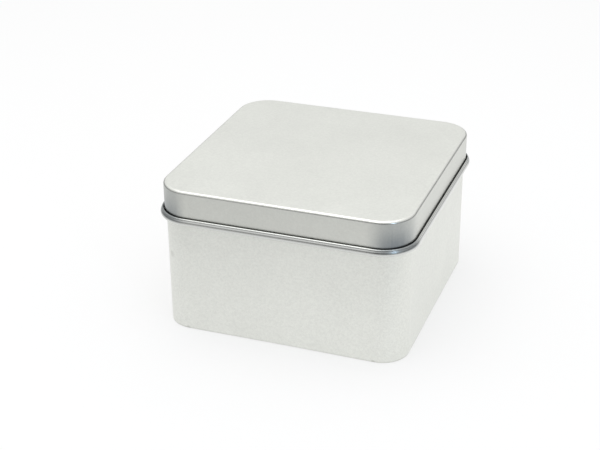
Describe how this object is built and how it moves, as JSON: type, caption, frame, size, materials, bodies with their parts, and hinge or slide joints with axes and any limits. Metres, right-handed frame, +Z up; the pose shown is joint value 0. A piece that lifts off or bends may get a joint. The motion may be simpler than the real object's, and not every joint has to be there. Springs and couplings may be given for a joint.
{
  "type": "square slip-lid tin",
  "caption": "Square metal tin with rounded corners, shut by a slip lid with a flat top, a short skirt and an open rolled edge.",
  "frame": {"origin": "centre of the flat bottom, on the surface that the tin stands on", "axes": "+Z up through the lid, the axis of symmetry; X and Y run square to the four flat sides"},
  "size_m": [0.1032, 0.1032, 0.06],
  "materials": {
    "body_tinplate": "matt silver tinplate with a very fine grain",
    "lid_tinplate": "matt silver tinplate with a very fine grain, drawn a little darker on the skirt"
  },
  "bodies": {
    "root": {"body": "body_tinplate", "lid": "lid_tinplate"}
  },
  "joints": []
}
